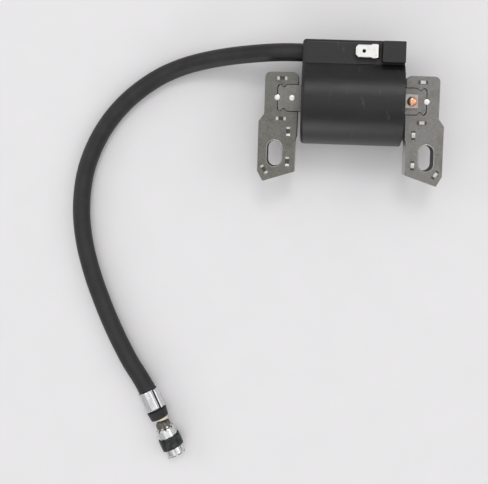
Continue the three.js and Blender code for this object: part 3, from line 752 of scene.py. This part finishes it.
def oxide_finish(name, deep, light, brown):
    """Electrical steel sheet: grey steam oxide over rolled steel, which dulls the shine. It has a pale
    speckle and rolling lines along the bar, both drawn at 0.4 mm, coarser than real, and a few brown
    blooms."""
    finish, tree = new_finish(name)
    place = add(tree, "ShaderNodeTexCoord")
    speckle = add(tree, "ShaderNodeTexNoise", {"Vector": (place, "Object"), "Scale": 2300.0, "Detail": 5.0,
                                               "Roughness": 0.7})
    pale = add(tree, "ShaderNodeMapRange", {"Value": (speckle, "Fac"), "From Min": 0.32, "From Max": 0.7})
    grey = add(tree, "ShaderNodeMix", {"Factor": (pale, "Result"), "A": to_linear(deep),
                                       "B": to_linear(light)}, data_type="RGBA")
    bloom = add(tree, "ShaderNodeTexNoise", {"Vector": (place, "Object"), "Scale": 210.0, "Detail": 5.0,
                                             "Roughness": 0.6})
    rusty = add(tree, "ShaderNodeMapRange", {"Value": (bloom, "Fac"), "From Min": 0.5, "From Max": 0.76,
                                             "To Max": 0.7})
    colour = add(tree, "ShaderNodeMix", {"Factor": (rusty, "Result"), "A": (grey, "Result"),
                                         "B": to_linear(brown)}, data_type="RGBA")
    roll_way = add(tree, "ShaderNodeMapping", {"Vector": (place, "Object"), "Scale": (2600, 120, 2600)})
    roll = add(tree, "ShaderNodeTexNoise", {"Vector": (roll_way, "Vector"), "Scale": 1.0, "Detail": 3.0})
    dull = add(tree, "ShaderNodeMapRange", {"Value": (speckle, "Fac"), "To Min": 0.42, "To Max": 0.62})
    rolled = add(tree, "ShaderNodeBump", {"Height": (roll, "Fac"), "Strength": 0.2, "Distance": 0.00005})
    grit = add(tree, "ShaderNodeBump", {"Height": (speckle, "Fac"), "Strength": 0.35, "Distance": 0.00006,
                                        "Normal": (rolled, "Normal")})
    steel = add(tree, "ShaderNodeBsdfPrincipled", {"Base Color": (colour, "Result"), "Metallic": 0.8,
                                                   "Roughness": (dull, "Result"), "Normal": (grit, "Normal")})
    add(tree, "ShaderNodeOutputMaterial", {"Surface": (steel, "BSDF")})
    return finish


# The left leg wears a darker copy of the oxide finish
oxide_steel = oxide_finish("oxide_coated_electrical_steel", "#6c6b68", "#92908d", "#6a635a")
left_oxide_steel = oxide_finish("darker_oxide_electrical_steel", "#5d5d59", "#83827c", "#5c564d")

# Sheared steel: where the punch cut or stretched the sheet the oxide is gone, so it is brighter, and its tone
# changes from sheet to sheet. On the lances the bright finish is also a painted highlight on the faces that
# catch the light. The grooves between sheets are dark joints; the slot walls and the lances' cuts and shaded
# faces are painted shade
bare_steel_and_highlight = grained_finish("sheared_steel_and_painted_highlight", "#9c9b97", "#cfcecb", (500, 500, 1900), (0.34, 0.34),
                            1.0, detail=3.0, spread=(0, 1), relief=(0.3, 0.00005))
groove_and_shade_steel = grained_finish("dark_grooves_and_painted_shade_steel", "#34322f", "#5d5a55", (1500, 1500, 1500), (0.4, 0.4),
                            0.6, detail=3.0, spread=(0, 1), relief=(0.3, 0.00005))


def seam(side, back):
    """The joint between tongue and leg, from its upper mouth to its lower one. back is the tongue's gap."""
    h = MOUTH - back
    end = TONGUE_X - END_GAP * back
    half = math.degrees(math.acos(-back / PIN_HOLE_R))
    start, stop = (half, 360 - half) if back else (90, -90)
    pin = arc(TONGUE_X, 0, PIN_HOLE_R, start, stop, 10)
    tooth = [(-1.7, 0), (-1.15, 0.12), (-0.85, 0.45), (-0.6, 0.85), (-0.3, 1), (0.3, 1), (0.6, 0.85),
             (0.85, 0.45), (1.15, 0.12), (1.6, 0.05)]
    upper = [*((TOOTH_X + x, h - y) for x, y in tooth), (end - 0.6, h - 0.25), (end - 0.15, h - 0.7),
             (end, h - 1.3)]
    lower = [(x, -y) for x, y in reversed(upper)]
    return [(side * x, y) for x, y in [*upper, *pin, *lower]]


def leg_outline():
    """The right leg, counter-clockwise from the foot's inner corner up the outside."""
    outside = rounded([(21.2, -28.4, 0.3), (33.4, -32.4, 0.4), (FOOT_OUT, -28.5, 0.4),
                       (FOOT_OUT, -9.2, 1.2), (LEG_OUT, -6.4, 1.6), (LEG_OUT, LEG_TOP, 2.1),
                       (LEG_IN, LEG_TOP, 2.1), (LEG_IN, MOUTH, 0)])
    return [*outside, *seam(1, 0), (LEG_IN, -MOUTH), (LEG_IN + 0.1, -14.6), (LEG_IN + 0.5, -15.6)]


def mirrored(outline, side):
    """The same outline for the right side (1), or mirrored and still counter-clockwise for the left (-1)."""
    return outline if side > 0 else [(-x, y) for x, y in reversed(outline)]


def sheets(shape, outline, shifts, blunt, finish=1):
    """A wall through the whole stack, in a finish: every sheet has rolled edges and a dark groove to the
    next. blunt is +1 for an outer wall and -1 for a hole's. Returns the lowest and highest ring."""
    rings = []
    for i, (dx, dy) in enumerate(shifts):
        base = -STACK / 2 + i * SHEET
        edges = [(0 if i == 0 else 0.04, 0.09), (0.1, 0), (SHEET - 0.14, 0),
                 (SHEET if i == len(shifts) - 1 else SHEET - 0.04, 0.1)]
        sheet = [shape.ring((x + dx, y + dy, base + rise) for x, y in inset(outline, blunt * depth))
                 for rise, depth in edges]
        if rings:
            shape.bridge(rings[-1], sheet[0], 2)
        shape.loft(sheet, finish)
        rings += sheet
    return rings[0], rings[-1]


def lance(shape, x, y, turn, long, wide, z, push):
    """One lance in a face at z: the strip between two cuts is pushed up, or down where push is negative.
    Returns its outline in the face. The faces that catch the light, a sunk strip's ramps (also stretched
    bare) and a raised strip's middle, take the bright finish as a painted highlight; the cut walls and the
    faces in shade take the painted shade finish."""
    half, side, ramp = long / 2, wide / 2, 0.24 * long
    spin = Matrix.Rotation(math.radians(turn), 2)
    stations = (-half, -half + ramp, half - ramp, half)

    def row(v, rise, along):
        spots = [spin @ Vector((u, v)) for u in along]
        return shape.ring((x + p.x, y + p.y, z + rise) for p in spots)

    near, far = row(-side, 0, stations), row(side, 0, stations)
    low_near, low_far = row(-side + 0.06, push, stations[1:3]), row(side - 0.06, push, stations[1:3])
    # Painted highlight (finish 1) on the lit faces, painted shade (finish 2) on the shaded ones
    flat, slope = (2, 1) if push < 0 else (1, 2)
    shape.face((near[0], low_near[0], low_far[0], far[0]), slope)
    shape.face((low_near[0], low_near[1], low_far[1], low_far[0]), flat)
    shape.face((low_near[1], near[3], far[3], low_far[1]), slope)
    for edge, deep in ((near, low_near), (far, low_far)):
        shape.face((edge[0], edge[1], deep[0]), 2)
        shape.face((edge[1], edge[2], deep[1], deep[0]), 2)
        shape.face((edge[2], edge[3], deep[1]), 2)
    return [*near, *reversed(far)]


wander = random.Random(7)


def stack_shifts():
    """How far each sheet of a stack lies out of line."""
    return [(wander.uniform(-0.02, 0.02), wander.uniform(-0.02, 0.02)) for _ in range(round(STACK / SHEET))]


def slot_outline(side, grow):
    """A leg's mounting slot, with round ends."""
    x, y = side * SLOT_AT[0], SLOT_AT[1]
    r = SLOT_W / 2 + grow
    reach = (SLOT_L - SLOT_W) / 2
    return [*arc(x, y + reach, r, 0, 180, 16), *arc(x, y - reach, r, 180, 360, 16)]


for side, name, part in ((-1, "left_leg", "leg_left"), (1, "right_leg", "leg_right")):
    shape = Shape(COIL)
    shifts = stack_shifts()
    outline = mirrored(leg_outline(), side)
    wall = sheets(shape, outline, shifts, 1)
    # The slot's walls wear the painted shade finish
    slot = sheets(shape, slot_outline(side, 0), shifts, -1, 2)
    for end, z in ((0, -STACK / 2), (1, STACK / 2)):
        way = 1 if end else -1
        burr = [shape.ring((x, y, z + way * rise) for x, y in slot_outline(side, grow))
                for grow, rise in ((0.12, 0.07), (0.3, 0))]
        shape.loft([slot[end], *burr], 1)
        cuts = [lance(shape, side * x, y, side * spin, long, wide, z, side * LANCE_DEPTH)
                for x, y, spin, long, wide in LANCES]
        shape.cap(wall[end], [burr[-1], *cuts])
    oxide = oxide_steel if side > 0 else left_oxide_steel
    made = shape.piece(name, [oxide, bare_steel_and_highlight, groove_and_shade_steel], smooth=30)
    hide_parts(part)

RIVET_X = 22.9
shape = Shape(COIL)
shifts = stack_shifts()
outline = [*seam(1, SEAM), *reversed(seam(-1, SEAM))]
wall = sheets(shape, outline, shifts, 1)
holes = [sheets(shape, arc(x, 0, PIN_R + 0.04, 0, 345, 23), shifts, -1) for x in (-RIVET_X, RIVET_X)]
for end in (0, 1):
    shape.cap(wall[end], [hole[end] for hole in holes])
bar = shape.piece("bar", [oxide_steel, bare_steel_and_highlight, groove_and_shade_steel], smooth=30)
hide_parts("core_bar")


# ---- Pins and rivets ----
# Steel pins driven into the seams and through the bar, and peened over: bright, hammered, slightly domed
# heads. The right end of the bar has a copper rivet, which also grounds the circuit.

def hammered_finish(name, base, deep, roughness):
    """Peened metal: overlapping hammer marks, about 0.8 mm wide, and flecks of a deeper tone."""
    finish, tree = new_finish(name)
    place = add(tree, "ShaderNodeTexCoord")
    marks = add(tree, "ShaderNodeTexVoronoi", {"Vector": (place, "Object"), "Scale": 1300.0},
                feature="SMOOTH_F1")
    fine = add(tree, "ShaderNodeTexNoise", {"Vector": (place, "Object"), "Scale": 2600.0, "Detail": 4.0})
    tone = add(tree, "ShaderNodeMapRange", {"Value": (fine, "Fac"), "From Min": 0.45, "From Max": 0.75})
    colour = add(tree, "ShaderNodeMix", {"Factor": (tone, "Result"), "A": to_linear(base),
                                         "B": to_linear(deep)}, data_type="RGBA")
    blows = add(tree, "ShaderNodeBump", {"Height": (marks, "Distance"), "Strength": 0.35,
                                         "Distance": 0.00015})
    metal = add(tree, "ShaderNodeBsdfPrincipled", {"Base Color": (colour, "Result"), "Metallic": 1.0,
                                                   "Roughness": roughness, "Normal": (blows, "Normal")})
    add(tree, "ShaderNodeOutputMaterial", {"Surface": (metal, "BSDF")})
    return finish


peened_steel = hammered_finish("peened_bright_steel", "#e6e5e2", "#b9b8b4", 0.4)
copper = hammered_finish("hammered_copper", "#ebb597", "#b87a5b", 0.3)
UPRIGHT = Matrix.Rotation(math.radians(-90), 4, "Y")   # a turned shape's axis, stood up along Z

for name, part, x, proud in (("left_pin", "seam_pin_left", -TONGUE_X, 0.25),
                             ("right_pin", "seam_pin_right", TONGUE_X, 0.25),
                             ("bar_pin", "bar_rivet", -RIVET_X, 0.22)):
    shape = Shape(COIL @ Matrix.Translation((x, 0, 0)) @ UPRIGHT)
    top = STACK / 2
    head = [(top - 0.1, PIN_R), (top + 0.02, PIN_R + 0.02), (top + 0.05, PIN_R + 0.1),
            (top + 0.12, PIN_R + 0.08), (top + 0.8 * proud, PIN_R - 0.15), (top + proud, PIN_R - 0.45),
            (top + proud, 0.2)]
    profile = [(-z, r) for z, r in reversed(head)] + head
    shape.ends(shape.turned(profile, 36))
    pin = shape.piece(name, [peened_steel], smooth=40)
    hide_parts(part)

LUG_Z = STACK / 2 + 0.2
LUG_T = 0.5
HEAD_R = 1.85


def beaten(x, r, angle):
    """The head's outline is lobed where the hammer spread it."""
    if r < PIN_R + 0.1:
        return r
    return r * (1 + 0.015 * math.sin(3 * angle + 0.6) + 0.012 * math.sin(7 * angle + 2 * x))


shape = Shape(COIL @ Matrix.Translation((RIVET_X, 0, 0)) @ UPRIGHT)
seat = LUG_Z + LUG_T + 0.02
tail = -STACK / 2 - 0.2
profile = [(tail, 0.3), (tail, PIN_R - 0.25), (tail + 0.12, PIN_R), (seat, PIN_R), (seat, HEAD_R - 0.25),
           (seat + 0.12, HEAD_R - 0.03), (seat + 0.35, HEAD_R), (seat + 0.62, HEAD_R - 0.08),
           (seat + 0.85, HEAD_R - 0.3), (seat + 1.02, HEAD_R - 0.65), (seat + 1.14, HEAD_R - 1.05),
           (seat + 1.2, HEAD_R - 1.45), (seat + 1.22, 0.12)]
rings = shape.turned(profile, 48, beaten)
shape.ends(rings)
for i in [k for ring in rings[6:] for k in ring]:
    dent = noise.noise(shape.points[i] * 1.1) * 0.16 + noise.noise(shape.points[i] * 2.6) * 0.07
    shape.points[i] = shape.points[i] + Vector((0, 0, min(dent, 0.02)))
rivet = shape.piece("copper_rivet", [copper], smooth=60)
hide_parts("ground_rivet")


# ---- Ground lug ----
# Half-millimetre tinned sheet, blanked with soft edges: a plate under the copper rivet's head, and a
# strap that comes from the circuit board through the potting.
PLATE_END = 25.2
PLATE_HALF = 2.7
STRAP_X = 15.2
STRAP_W = 0.8
STRAP_END = 15.2

lug_tin = tinned_finish("tinned_sheet_blanked", "#a5a09b", "#857c72", 0.4, (300, 2600, 2600))

shape = Shape(COIL)
plate_corners = rounded([(PLATE_END, -PLATE_HALF, 0.35), (PLATE_END, PLATE_HALF, 0.35),
                         (STRAP_X + STRAP_W, PLATE_HALF, 0.3), (STRAP_X + STRAP_W, STRAP_END, 0.1),
                         (STRAP_X, STRAP_END, 0.1), (STRAP_X, -PLATE_HALF, 0.1)])
levels = ((0, 0.1), (0.06, 0.02), (0.12, 0), (LUG_T - 0.16, 0), (LUG_T - 0.05, 0.05), (LUG_T, 0.18))
rings = [shape.ring((x, y, LUG_Z + rise) for x, y in inset(plate_corners, depth)) for rise, depth in levels]
shape.loft(rings)
hole = [shape.ring((x, y, LUG_Z + rise) for x, y in arc(RIVET_X, 0, PIN_R + 0.06, 0, 345, 23))
        for rise in (0, LUG_T)]
shape.loft(hole)
shape.cap(rings[0], [hole[0]])
shape.cap(rings[-1], [hole[1]])
lug = shape.piece("lug_plate", [lug_tin])
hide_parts("ground_lug")


# ---- Stop tab ----
# A 4.75 x 0.8 mm quick-connect blade of tinned brass with a coined tip and edges. It is bent down at its
# shoulders into a slot of the case, where its stem reaches the circuit board.
TAB_T = 0.8
TAB_Y = 17.8
TAB_TIP = 0.5
TAB_HALF = 2.375
TAB_SHOULDER = 2.7
TAB_END = 9.3
TAB_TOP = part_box("stop_tab")[1].z / MM - COIL.translation.z
STEM_LOW = 6.9
BEND_R = 0.75         # to the middle of the sheet's thickness
EDGE_BEVEL = 0.22
LOCK_HOLE_X = 3.6
LOCK_HOLE_R = 0.62

blade_tin = tinned_finish("tinned_brass_blade", "#d9d8d6", "#c6c4bf", 0.3, (260, 2600, 2600))

shape = Shape(COIL)
mid = TAB_TOP - TAB_T / 2
bend_x = TAB_END - TAB_T / 2 - BEND_R
path = [(TAB_TIP, 1.45, 0.22), (TAB_TIP + 0.12, 1.6, 0.32), (TAB_TIP + 0.85, TAB_HALF - 0.05, 0.4),
        (TAB_TIP + 1.1, TAB_HALF, 0.4), (6.25, TAB_HALF, 0.4), (6.45, TAB_SHOULDER - 0.1, 0.4),
        (6.65, TAB_SHOULDER, 0.4), (bend_x, TAB_SHOULDER, 0.4)]
rings = [[(x, mid), (0, 1), half, thick] for x, half, thick in path]
for step in range(1, 7):
    a = math.radians(15 * step)
    spot = (bend_x + BEND_R * math.sin(a), mid - BEND_R + BEND_R * math.cos(a))
    rings.append([spot, (math.sin(a), math.cos(a)), TAB_SHOULDER - 0.08 * step, 0.4])
rings.append([(TAB_END - TAB_T / 2, STEM_LOW), (1, 0), 2.2, 0.4])
loops = []
for (x, z), (nx, nz), half, thick in rings:
    flat, tall = half - EDGE_BEVEL, thick - EDGE_BEVEL
    section = [(-half, tall), (-half, -tall), (-flat, -thick), (flat, -thick),
               (half, -tall), (half, tall), (flat, thick), (-flat, thick)]
    loops.append(shape.ring((x + nx * w, TAB_Y + y, z + nz * w) for y, w in section))
shape.loft(loops)
shape.ends(loops)
tab = shape.piece("stop_blade", [blade_tin], smooth=30)
lock_hole = Shape(COIL @ Matrix.Translation((LOCK_HOLE_X, TAB_Y, 0)) @ UPRIGHT)
lock_hole.ends(lock_hole.turned([(TAB_TOP - 2, LOCK_HOLE_R), (TAB_TOP - 0.14, LOCK_HOLE_R),
                                 (TAB_TOP + 0.2, LOCK_HOLE_R + 0.34)], 32))
carve(tab, [cutter(lock_hole)])
close(tab, 30)
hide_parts("stop_tab")


# ---- Inside the case ----
# Bobbins, windings, circuit and lead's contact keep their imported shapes, in the potting. Each wears the
# finish of what it is made of.
# Glass-filled nylon, moulded: milky, with fibre grain. Enamelled wire lies in turns: fine copper-red lines
# across X, drawn 0.4 mm apart. Laminate has its weave, 0.5 mm. Epoxy bodies are grainy black
nylon = grained_finish("glass_filled_nylon", "#d8cfb8", "#c6bb9f", (1500, 1500, 1500), (0.5, 0.5))
enamel = grained_finish("enamelled_copper_wire", "#b5562a", "#6f2a12", (2500, 60, 60), (0.3, 0.3), 0.7)
laminate = grained_finish("circuit_laminate", "#3f6b38", "#2c5229", (2000, 2000, 2000), (0.45, 0.45))
epoxy_body = grained_finish("moulded_epoxy_body", "#1c1c1e", "#2b2b2c", (3000, 3000, 3000), (0.5, 0.5))
lacquer = grained_finish("resistor_lacquer", "#d2b98a", "#a9793f", (900, 60, 60), (0.35, 0.35))
screw_steel = grained_finish("turned_plated_steel", "#d9d9d6", "#a5a5a1", (3000, 300, 300), (0.3, 0.3), 1.0)
strand_tin = grained_finish("tinned_copper_strand", "#cfcac2", "#8c7f70", (400, 2500, 2500), (0.35, 0.35),
                            1.0)
wearing = (
    (nylon, ("primary_bobbin", "secondary_bobbin")),
    (enamel, ("primary_winding", "secondary_winding", "secondary_wire", "primary_wire_start",
              "primary_wire_end")),
    (laminate, ("circuit_board",)),
    (epoxy_body, ("power_transistor", "trigger_transistor", "clamp_diode")),
    (lacquer, ("trigger_resistor", "base_resistor")),
    (screw_steel, ("ht_contact_screw",)),
    (strand_tin, ("lead_conductor",)),
)
for finish, names in wearing:
    for name in names:
        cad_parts[name].data.materials.clear()
        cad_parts[name].data.materials.append(finish)


# ---- Table and light ----
# A plain pale table, and plain soft studio light in a bright room: a large lamp overhead, a small one high
# behind the coil, and low ones at the right, the left and the front.
paper = grained_finish("pale_table_paper", "#e9e7e8", "#e3e2e3", (60, 60, 60), (0.8, 0.8), spread=(0, 1),
                       relief=(0, 0))

table = bpy.data.meshes.new("table")
table.from_pydata([(-4, -4, 0), (4, -4, 0), (4, 4, 0), (-4, 4, 0)], [], [(0, 1, 2, 3)])
table.materials.append(paper)
floor = bpy.data.objects.new("table", table)
bpy.context.scene.collection.objects.link(floor)


LAMPS_FROM = Vector((-0.03, -0.05, 0))   # middle of the table that the lamps light


def soft_lamp(name, towards, far, size, watts):
    """A square soft box that points at the middle of the table."""
    lamp = bpy.data.lights.new(name, "AREA")
    lamp.size = size
    lamp.energy = watts
    holder = bpy.data.objects.new(name, lamp)
    holder.location = LAMPS_FROM + Vector(towards).normalized() * far
    holder.rotation_euler = (-Vector(towards)).to_track_quat("-Z", "Y").to_euler()
    bpy.context.scene.collection.objects.link(holder)


soft_lamp("ceiling_lamp", (0, 0.05, 1), 1.6, 1.8, 6.0)
soft_lamp("back_lamp", (0.1, 0.5, 0.86), 1.6, 0.4, 3.3)
soft_lamp("right_lamp", (0.75, 0.2, 0.65), 1.6, 0.8, 3.2)
soft_lamp("left_lamp", (-0.85, 0.2, 0.4), 1.6, 0.9, 3.2)
soft_lamp("front_lamp", (-0.15, -0.95, 0.22), 1.6, 0.9, 6.5)

bpy.context.scene.view_settings.view_transform = "Standard"
world = bpy.data.worlds.new("bright_room")
bpy.context.scene.world = world
world.use_nodes = True
world.node_tree.nodes["Background"].inputs["Color"].default_value = to_linear("#f4f4f5")
world.node_tree.nodes["Background"].inputs["Strength"].default_value = 0.64
